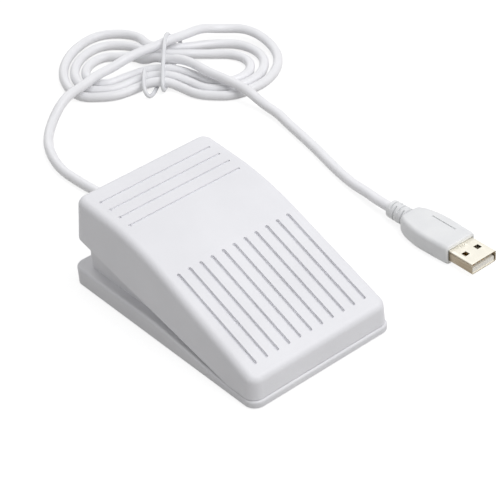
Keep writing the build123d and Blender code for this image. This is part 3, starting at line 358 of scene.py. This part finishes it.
nodeFinishes = {
    "cover_plastic": ["pedal_cover"],
    "base_plastic": ["base_housing", "bottom_cover"],
    "cord_jacket": ["cord_tail", "cord_strain_relief"],
    "foot_rubber": ["rubber_feet"],
    "steel": [
        "hinge_pin", "cover_screws", "board_screws", "clamp_screws", "lever_pin", "crystal",
        "switch_lever",
    ],
    "spring_steel": ["return_spring_left", "return_spring_right"],
    "board_laminate": ["circuit_board"],
    "black_plastic": ["switch_case", "controller_chip", "resistors", "clamp_bar"],
    "plunger_red": ["switch_plunger"],
    "tin": ["switch_terminals"],
    "capacitor_ceramic": ["ceramic_capacitors"],
    "tongue_plastic": ["plug_tongue"],
    "contact_gold": ["plug_contacts"],
    "wire_red": ["wire_red"],
    "wire_white": ["wire_white"],
    "wire_green": ["wire_green"],
    "wire_black": ["wire_black"],
}
for finish, names in nodeFinishes.items():
    for name in names:
        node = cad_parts[name]
        if not node.material_slots:
            node.data.materials.append(finishes[finish])
        for place in node.material_slots:
            place.material = finishes[finish]
print("materials: done")


def dress(piece, finish, *replaced, body="base"):  # finish, body and CAD nodes of a new piece
    piece.data.materials.clear()
    piece.data.materials.append(finishes[finish])
    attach(piece, body)
    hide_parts(*replaced)


# Camera, at the photograph's angle
camera = {
    "azimuth": -37.41, "elevation": 36.484, "roll": -4.596, "distance": 630.92, "lens": 133.755,
    "sensor": 36, "target": (4.09, -9.595, 26.68), "shift": (-0.00227, -0.00067),
}
turn = radians(camera["azimuth"])
rise = radians(camera["elevation"])
back = Vector((sin(turn) * cos(rise), -cos(turn) * cos(rise), sin(rise)))
cameraData = bpy.data.cameras.new("camera")
cameraData.lens = camera["lens"]
cameraData.sensor_width = camera["sensor"]
cameraData.shift_x, cameraData.shift_y = camera["shift"]
cameraObject = bpy.data.objects.new("camera", cameraData)
bpy.context.scene.collection.objects.link(cameraObject)
stand = Matrix.Translation((Vector(camera["target"]) + back * camera["distance"]) * mm)
aim = Matrix.Rotation(turn, 4, "Z") @ Matrix.Rotation(pi / 2 - rise, 4, "X")
cameraObject.matrix_world = stand @ aim @ Matrix.Rotation(radians(camera["roll"]), 4, "Z")
bpy.context.scene.camera = cameraObject


# Cord: out of the grommet, a hank of three flat loops with its first and last run over them, and to the plug.
# Before the hank its points lie up to 2 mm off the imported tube's line, to follow the photograph
cord = {
    "diameter": 4.0, "resolution": 12, "sides": 6,
    "start": [(6.5, 61, 4.4), (6.5, 71, 4.4), (6.6, 84.5, 2.2), (5.6, 98, 2), (5.6, 111, 2), (11.2, 127, 2)],
    "runOut": 13,
    "end": [(81, 34.5, 2), (78.4, 21.5, 2.2), (77.2, 11.5, 3.4), (76, 5, 4), (76, 0, 4), (76, -5, 4)],
    "length": 941,
}
hank = {
    "centre": (79, 138), "turn": -46.2, "loops": 3,
    "waistPitch": 5.1, "waistHeight": 3.6, "waistLow": -10.4, "waistHigh": 17, "entryLift": 2.6,
    "right": {"reach": (47, 5.6), "shoulder": (23.5, 5.4), "top": (31.5, 8.5), "bottom": (-18.6, 5.1)},
    "left": {"reach": (43.5, 5), "shoulder": (18.5, 4.4), "top": (31.5, 9.6), "bottom": (-20, 5.2)},
    "entry": [  # u along the hank, v across it, height, heading
        (-39.7, -47.9, 2, 98), (-33, -22.5, 6.9, 56), (-23, -8.5, 7.7, 47),
        (-11.5, 3.4, 8.9, 43), (-0.5, 13.6, 8.8, 44), (9, 22.6, 8.1, 42),
    ],
    "exit": [
        (-12.5, 10.6, 2.3, -33), (-1.5, 5.8, 5.2, -24), (9.5, 0.2, 7.3, -30), (22, -9.4, 6.9, -36),
        (34, -18.8, 6.9, -41), (48, -30.2, 3, -46), (58, -42.8, 2, -55),
    ],
}


parallel = 1e-9  # below this two headings count as the same


def hankPoint(u, v, z):
    angle = radians(hank["turn"])
    x = hank["centre"][0] + u * cos(angle) - v * sin(angle)
    y = hank["centre"][1] + u * sin(angle) + v * cos(angle)
    return Vector((x, y, z))


def hankHeading(angle):
    angle = radians(angle + hank["turn"])
    return Vector((cos(angle), sin(angle), 0))


def lobeAt(lobe, loop):  # a lobe's sizes at one loop: each loop lies inside the last
    reach, shoulder, top = [lobe[size][0] - loop * lobe[size][1] for size in ("reach", "shoulder", "top")]
    return reach, shoulder, top, lobe["bottom"][0] + loop * lobe["bottom"][1]


def towardsWaist(lobe, loop, side):  # the place half way from a lobe's underside to the waist
    run = lobe["reach"][0] - lobe["shoulder"][0]
    low = lobe["bottom"][0]
    slope = degrees(2 * atan2(abs(low - hank["waistLow"]), run))
    angle = 180 - side * slope
    inset = loop * hank["waistPitch"]
    across = radians(angle - 90)
    u = side * run / 2 + inset * cos(across)
    return (u, (low + hank["waistLow"]) / 2 + inset * sin(across), cord["diameter"] / 2, angle)


def hankPlaces():
    low = cord["diameter"] / 2
    places = list(hank["entry"])
    for loop in range(hank["loops"]):
        inset = loop * hank["waistPitch"]
        reach, shoulder, top, bottom = lobeAt(hank["right"], loop)
        lift = hank["entryLift"] if loop == 0 else 0
        places.append((reach - shoulder, top, low + lift, 0))
        places.append((reach, (top + bottom) / 2, low, -90))
        places.append((reach - shoulder, bottom, low, 180))
        places.append(towardsWaist(hank["right"], loop, 1))
        places.append((0, hank["waistLow"] + inset, hank["waistHeight"], 180))
        places.append(towardsWaist(hank["left"], loop, -1))
        reach, shoulder, top, bottom = lobeAt(hank["left"], loop)
        places.append((shoulder - reach, bottom, low, 180))
        places.append((-reach, (top + bottom) / 2, low, 90))
        places.append((shoulder - reach, top, low, 0))
        if loop < hank["loops"] - 1:
            places.append((0, hank["waistHigh"] - inset, hank["waistHeight"], 0))
    return places + hank["exit"]


def cordPoints():  # control points: the runs' own, and two for each bend of the hank
    places = hankPlaces()
    last = places[-1]
    points = [Vector(place) for place in cord["start"]]
    for here, there in zip(places, places[1:]):
        p0, t0 = hankPoint(*here[:3]), hankHeading(here[3])
        p1, t1 = hankPoint(*there[:3]), hankHeading(there[3])
        gap = p1 - p0
        both = t0 + t1
        share = 2 * (1 - t0.dot(t1))
        if share < parallel:
            reach = gap.dot(gap) / (4 * gap.dot(t1))
        else:
            reach = (sqrt(gap.dot(both) ** 2 + share * gap.dot(gap)) - gap.dot(both)) / share
        points.append(p0 + t0 * reach)
        points.append(p1 - t1 * reach)
    out = hankHeading(last[3])
    points.append(hankPoint(*last[:3]) + out * cord["diameter"])
    points.append(hankPoint(*last[:3]) + out * (cord["diameter"] + cord["runOut"]))
    return points + [Vector(place) for place in cord["end"]]


def tube(name, points, size):  # one smooth line with those control points
    data = bpy.data.curves.new(name, "CURVE")
    data.dimensions = "3D"
    data.bevel_depth = size["diameter"] * mm / 2
    data.bevel_resolution = size["sides"]
    data.use_fill_caps = True
    spline = data.splines.new("NURBS")
    spline.points.add(len(points) - 1)
    for point, place in zip(spline.points, points):
        point.co = (*(place * mm), 1)
    spline.order_u = 3
    spline.use_endpoint_u = True
    data.resolution_u = size["resolution"]
    spline.resolution_u = size["resolution"]
    piece = bpy.data.objects.new(name, data)
    bpy.context.scene.collection.objects.link(piece)
    return piece


cordPiece = tube("usb_cord", cordPoints(), cord)
dress(cordPiece, "cord_jacket", "cord_lead_in", "cord_hank", "cord_lead_out")
print("cord: done")


# Wire tie: one coated wire, twice round the waist, one end left lying on top
tie = {
    "diameter": 1.7, "resolution": 12, "sides": 5,
    "route": [
        (-7, -5.5, 6.5), (-6.4, -14.5, 6.2), (-5.2, -18.6, 3.4), (-3.4, -18.4, 0.86), (-1.6, -12, 0.86),
        (-0.2, 18.4, 0.86), (0.3, 21.3, 2.8), (0.2, 21.2, 7), (-0.8, 14, 13), (1.3, -11.6, 7),
        (1.7, -15.9, 3.4), (2, -13.2, 0.86), (3.4, 18.4, 0.86), (3.7, 22.1, 2.6), (3.8, 22.8, 5.6),
        (3.5, 21.9, 7.6),
    ],
}
tiePiece = tube("tie_wire", [hankPoint(*place) for place in tie["route"]], tie)
dress(tiePiece, "tie_plastic", "wire_tie")
print("tie: done")


# Strain relief of the plug: a blunt rubber neck with slots that face up and down, then sideways
relief = {
    "rear": 6.9, "front": 7.2, "start": 2.9, "sides": 64, "slots": 4, "slotWidth": 0.6, "slotPitch": 1.95,
    "firstSlot": 1.3, "slotDepth": 1.25, "topAngle": 104, "sideAngle": 142, "edge": 0.08,
}
reliefLow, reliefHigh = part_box("plug_strain_relief")
plugX = (reliefLow.x + reliefHigh.x) / 2
plugZ = (reliefLow.z + reliefHigh.z) / 2
reliefRear = reliefHigh.y - relief["start"] * mm
reliefPiece = newPiece(
    bpy.ops.mesh.primitive_cone_add, "plug_relief", vertices=relief["sides"],
    radius1=relief["rear"] * mm / 2, radius2=relief["front"] * mm / 2, depth=reliefRear - reliefLow.y,
    location=(plugX, (reliefLow.y + reliefRear) / 2, plugZ), rotation=(pi / 2, 0, 0),
)
settle(reliefPiece)
startEdit(reliefPiece)
slotWidth = relief["slotWidth"] * mm
slotPlaces = [relief["firstSlot"] + at * relief["slotPitch"] for at in range(relief["slots"])]
slotStarts = [reliefRear - place * mm for place in slotPlaces]
for start in slotStarts:
    cutAcross(1, (start, start - slotWidth))


def inSlot(middle, start, upright):
    lean = degrees(atan2(abs(middle.x - plugX), abs(middle.z - plugZ)))  # 0 is straight up or down
    turned = lean < relief["topAngle"] / 2 if upright else 90 - lean < relief["sideAngle"] / 2
    return turned and start - slotWidth < middle.y < start


for at, start in enumerate(slotStarts):
    selectFaces(reliefPiece, lambda middle, normal: inSlot(middle, start, at % 2 == 0))
    bpy.ops.mesh.extrude_region_shrink_fatten(
        TRANSFORM_OT_shrink_fatten={"value": -relief["slotDepth"] * mm}
    )
endEdit()
applyModifier(
    reliefPiece, "BEVEL", width=relief["edge"] * mm, segments=2, limit_method="ANGLE", angle_limit=radians(40)
)
smoothByAngle(reliefPiece, 35)
dress(reliefPiece, "plug_plastic", "plug_strain_relief")
print("strain relief: done")


# Overmould of the plug: bell-shaped in plan, with a rounded top and one fine line on it
overmould = {
    # share of the length from the rear, width and height there
    "stations": [
        (0.0, 8.6, 6.7), (0.05, 10.5, 7.5), (0.12, 12.1, 7.9), (0.2, 13.3, 8.0), (0.3, 14.4, 8.0),
        (0.42, 15.3, 8.0), (0.55, 15.4, 8.0), (0.7, 15.1, 8.0), (0.85, 14.75, 8.0), (1.0, 14.4, 8.0),
    ],
    "longEdge": 1.9, "frontEdge": 0.7, "lineOffset": 3.25, "lineFrom": -20.4, "lineTo": -32.3,
    "lineWidth": 0.6, "lineDepth": 0.45, "pocketGap": 0.12,
}
mouldLow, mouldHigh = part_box("plug_overmould")
mouldLength = mouldHigh.y - mouldLow.y
mouldMiddle = (mouldLow.z + mouldHigh.z) / 2
mouldPiece = boxPiece("plug_body", mouldLow, mouldHigh)
same = 1e-6  # places nearer than this count as one
startEdit(mouldPiece)
cutAcross(1, [mouldHigh.y - share * mouldLength for share, width, height in overmould["stations"][1:-1]])
cutAcross(0, [plugX])
mesh = bmesh.from_edit_mesh(mouldPiece.data)
for corner in mesh.verts:
    share = (mouldHigh.y - corner.co.y) / mouldLength
    width, height = min((abs(at - share), w, h) for at, w, h in overmould["stations"])[1:]
    if abs(corner.co.x - plugX) > same:
        corner.co.x = plugX + (width * mm / 2 if corner.co.x > plugX else -width * mm / 2)
    corner.co.z = mouldMiddle + (height * mm / 2 if corner.co.z > mouldMiddle else -height * mm / 2)
bmesh.update_edit_mesh(mouldPiece.data)
bpy.ops.mesh.select_mode(type="EDGE")
selectEdges(mouldPiece, lambda a, b: abs(a.x - plugX) > same and abs(b.x - plugX) > same
            and (a.x - plugX) * (b.x - plugX) > 0 and abs(a.y - b.y) > same)
bpy.ops.mesh.bevel(offset=overmould["longEdge"] * mm, segments=4, affect="EDGES")
selectEdges(mouldPiece, lambda a, b: max(a.y, b.y) < mouldLow.y + same
            and not (abs(a.x - plugX) < same and abs(b.x - plugX) < same))
bpy.ops.mesh.bevel(offset=overmould["frontEdge"] * mm, segments=3, affect="EDGES")
endEdit()
applyModifier(mouldPiece, "SUBSURF", levels=2, render_levels=2)
line = boxPiece(
    "line",
    (plugX + (overmould["lineOffset"] - overmould["lineWidth"] / 2) * mm, overmould["lineTo"] * mm,
     mouldHigh.z - overmould["lineDepth"] * mm),
    (plugX + (overmould["lineOffset"] + overmould["lineWidth"] / 2) * mm, overmould["lineFrom"] * mm,
     mouldHigh.z + mm),
)
cutOut(mouldPiece, line)
shellLow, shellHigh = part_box("plug_shell")
gap = Vector((1, 0, 1)) * overmould["pocketGap"] * mm
pocket = boxPiece("pocket", shellLow - gap, shellHigh + gap)
cutOut(mouldPiece, pocket)
smoothByAngle(mouldPiece, 40)
dress(mouldPiece, "plug_plastic", "plug_overmould")
print("overmould: done")


# Shell of the plug: folded nickel-plated sheet with two windows on each face and a seam down each side
shell = {
    "sheet": 0.3, "corner": 0.55, "window": 2.2, "windowOffset": 3.0, "windowFromEnd": 6.1,
    "seamDrop": 0.75, "seamWidth": 0.13, "edge": 0.05,
    "dents": [(0.55, -39.0, 0.32), (-1.1, -38.75, 0.24)], "dentDepth": 0.28,  # across, along, radius
}
shellPiece = boxPiece("plug_shell_sheet", shellLow, shellHigh)
startEdit(shellPiece, "EDGE")
selectEdges(shellPiece, lambda a, b: abs(a.y - b.y) > mm)
bpy.ops.mesh.bevel(offset=shell["corner"] * mm, segments=4, affect="EDGES")
bpy.ops.mesh.select_mode(type="FACE")
windowY = shellLow.y + shell["windowFromEnd"] * mm
windowHalf = shell["window"] * mm / 2
windowX = [plugX + side * shell["windowOffset"] * mm for side in (-1, 1)]
cutAcross(0, [x + side * windowHalf for x in windowX for side in (-1, 1)])
cutAcross(1, [windowY - windowHalf, windowY + windowHalf])
seamTop = shellHigh.z - shell["seamDrop"] * mm
cutAcross(2, [seamTop, seamTop - shell["seamWidth"] * mm])


square = 0.9  # a normal with more than this along an axis counts as facing that way


def openFace(middle, normal):
    ends = abs(normal.y) > square
    window = (abs(normal.z) > square and abs(middle.y - windowY) < windowHalf
              and min(abs(middle.x - x) for x in windowX) < windowHalf)
    seam = abs(normal.x) > square and seamTop - shell["seamWidth"] * mm < middle.z < seamTop
    return ends or window or seam


selectFaces(shellPiece, openFace)
bpy.ops.mesh.delete(type="FACE")
endEdit()
applyModifier(shellPiece, "SOLIDIFY", thickness=shell["sheet"] * mm, offset=-1, use_even_offset=True)
for across, y, radius in shell["dents"]:
    dent = newPiece(
        bpy.ops.mesh.primitive_uv_sphere_add, "dent", segments=24, ring_count=12, radius=radius * mm,
        location=(plugX + across * mm, y * mm, shellHigh.z + (radius - shell["dentDepth"]) * mm),
    )
    settle(dent)
    cutOut(shellPiece, dent)
applyModifier(
    shellPiece, "BEVEL", width=shell["edge"] * mm, segments=2, limit_method="ANGLE", angle_limit=radians(50)
)
smoothByAngle(shellPiece, 35)
dress(shellPiece, "nickel_plate", "plug_shell")
print("plug shell: done")


# Return springs: closed and ground ends, open turns between
spring = {"wire": 0.9, "turns": 8, "closedTurns": 1, "steps": 28, "sides": 12, "travel": 4.6}
for side in ("left", "right"):
    low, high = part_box("return_spring_" + side)
    wire = spring["wire"] * mm
    middle = (low + high) / 2
    coilRadius = (high.x - low.x - wire) / 2
    coil = newPiece(
        bpy.ops.mesh.primitive_circle_add, "coil_" + side, vertices=spring["sides"], radius=wire / 2,
        location=(coilRadius, 0, 0), rotation=(pi / 2, 0, 0),
    )
    settle(coil)
    applyModifier(
        coil, "SCREW", axis="Z", angle=2 * pi, screw_offset=1, iterations=spring["turns"],
        steps=spring["steps"], render_steps=spring["steps"], use_merge_vertices=False, use_smooth_shade=True,
    )
    bottom = low.z + wire / 2
    travel = high.z - low.z - wire
    openTurns = spring["turns"] - 2 * spring["closedTurns"]
    openPitch = (travel - 2 * spring["closedTurns"] * wire) / openTurns
    ringSize = spring["sides"]
    # The screw adds its rings one after another, 1 m higher each turn, and here each gets its own height
    for at, corner in enumerate(coil.data.vertices):
        turns = (at // ringSize) / spring["steps"]
        rise = min(turns, spring["closedTurns"]) * wire
        rise += min(max(turns - spring["closedTurns"], 0), openTurns) * openPitch
        rise += max(turns - spring["closedTurns"] - openTurns, 0) * wire
        corner.co.z += rise - turns
        corner.co.x += middle.x
        corner.co.y += middle.y
        corner.co.z += bottom
    startEdit(coil, "EDGE")
    bpy.ops.mesh.select_non_manifold()
    bpy.ops.mesh.edge_face_add()
    bpy.ops.mesh.select_all(action="SELECT")
    bpy.ops.mesh.normals_make_consistent(inside=False)
    endEdit()
    smoothByAngle(coil, 50)
    dress(coil, "spring_steel", "return_spring_" + side)
    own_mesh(coil)
print("springs: done")


# Floor, backdrop and light

def seenDirectly(tree):  # 1 on what the camera sees, straight, in a gloss or through glass
    rays = addNode(tree, "ShaderNodeLightPath").outputs
    seen = addNode(
        tree, "ShaderNodeMath", {"operation": "MAXIMUM"},
        {0: rays["Is Camera Ray"], 1: rays["Is Glossy Ray"]},
    )
    seen = addNode(
        tree, "ShaderNodeMath", {"operation": "MAXIMUM"},
        {0: seen.outputs["Value"], 1: rays["Is Transmission Ray"]},
    )
    return seen.outputs["Value"]


stage = {"size": 6, "bounce": "c0bfbd", "shadow": "989898", "glow": 0.82, "ambient": 0.42, "sky": "fafafb"}
floor = newPiece(bpy.ops.mesh.primitive_plane_add, "floor", size=stage["size"])
floorMaterial, tree = newMaterial("Studio floor, white paper")
bounce = addNode(tree, "ShaderNodeBsdfDiffuse", {"Color": linear(stage["bounce"])})
shadow = addNode(tree, "ShaderNodeBsdfDiffuse", {"Color": linear(stage["shadow"])})
glow = addNode(tree, "ShaderNodeEmission", {"Strength": stage["glow"]})
paper = addNode(tree, "ShaderNodeAddShader", {}, {0: shadow.outputs["BSDF"], 1: glow.outputs["Emission"]})
mixed = addNode(
    tree, "ShaderNodeMixShader", {},
    {0: seenDirectly(tree), 1: bounce.outputs["BSDF"], 2: paper.outputs["Shader"]},
)
addNode(tree, "ShaderNodeOutputMaterial", {}, {"Surface": mixed.outputs["Shader"]})
floor.data.materials.append(floorMaterial)

world = bpy.data.worlds.new("Studio")
bpy.context.scene.world = world
world.use_nodes = True
tree = world.node_tree
tree.nodes.clear()
ambient = addNode(tree, "ShaderNodeBackground", {"Color": linear(stage["sky"]), "Strength": stage["ambient"]})
white = addNode(tree, "ShaderNodeBackground", {"Color": (1, 1, 1, 1), "Strength": 1.0})
mixed = addNode(
    tree, "ShaderNodeMixShader", {},
    {0: seenDirectly(tree), 1: ambient.outputs["Background"], 2: white.outputs["Background"]},
)
addNode(tree, "ShaderNodeOutputWorld", {}, {"Surface": mixed.outputs["Shader"]})

lamps = {
    "overheadSoftbox": {"place": (0.2, -0.42, 0.78), "size": 0.7, "power": 5.2, "colour": "fdfdff"},
    "rearSoftbox": {"place": (0.25, 0.7, 0.5), "size": 0.5, "power": 0.9, "colour": "ffffff"},
}
lookAt = Vector((30, 40, 10)) * mm  # what the lamps face
for name, lamp in lamps.items():
    light = bpy.data.lights.new(name, "AREA")
    light.shape = "SQUARE"
    light.size = lamp["size"]
    light.energy = lamp["power"]
    light.color = linear(lamp["colour"])[:3]
    lightObject = bpy.data.objects.new(name, light)
    bpy.context.scene.collection.objects.link(lightObject)
    lightObject.location = lookAt + Vector(lamp["place"])
    lightObject.rotation_euler = Vector(lamp["place"]).to_track_quat("Z", "Y").to_euler()
bpy.context.scene.view_settings.view_transform = "Standard"
print("stage and lights: done")
